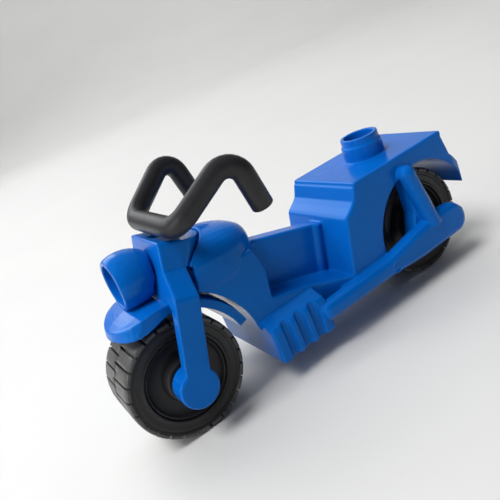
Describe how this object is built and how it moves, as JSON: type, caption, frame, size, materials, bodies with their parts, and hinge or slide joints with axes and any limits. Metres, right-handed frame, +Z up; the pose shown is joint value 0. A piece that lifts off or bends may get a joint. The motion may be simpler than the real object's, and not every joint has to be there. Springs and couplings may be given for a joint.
{
  "type": "toy motorcycle",
  "caption": "Moulded plastic toy motorcycle for brick figures: two-part body with stud plate, turning fork, bent-tube handlebar, headlight cup and wide lugged wheels.",
  "frame": {"origin": "on the ground under the middle of the toy: the middle of the bounding box in X and Y, and the lowest point of the tyres in Z", "axes": "+X forward, from the rear wheel to the front wheel; +Y the rider's left; +Z up"},
  "size_m": [0.0994, 0.0374, 0.0538],
  "materials": {
    "blue_plastic": "glossy moulded, light handling scuffs",
    "black_plastic": "satin",
    "tyre": "matte, lugged",
    "axle_steel": "plain pin"
  },
  "bodies": {
    "chassis": {"body_left": "blue_plastic", "body_right": "blue_plastic", "stud_plate": "blue_plastic", "rear_axle": "axle_steel"},
    "fork": {"fork_left": "blue_plastic", "fork_right": "blue_plastic", "steering_pin": "axle_steel", "headlight_cup": "blue_plastic", "handlebar": "black_plastic", "front_axle": "axle_steel"},
    "front_wheel": {"front_rim": "black_plastic", "front_tyre": "tyre"},
    "rear_wheel": {"rear_rim": "black_plastic", "rear_tyre": "tyre"}
  },
  "joints": [
    {"name": "steering", "type": "hinge", "parent": "chassis", "child": "fork", "pos_m": [0.0364, 0, 0.0133], "axis": [-0.284, 0, 0.9588], "range_deg": [-8, 8]},
    {"name": "front_wheel_spin", "type": "hinge", "parent": "fork", "child": "front_wheel", "pos_m": [0.0364, 0, 0.0133], "axis": [0, 1, 0], "continuous": true},
    {"name": "rear_wheel_spin", "type": "hinge", "parent": "chassis", "child": "rear_wheel", "pos_m": [-0.0332, 0, 0.0133], "axis": [0, 1, 0], "continuous": true}
  ]
}
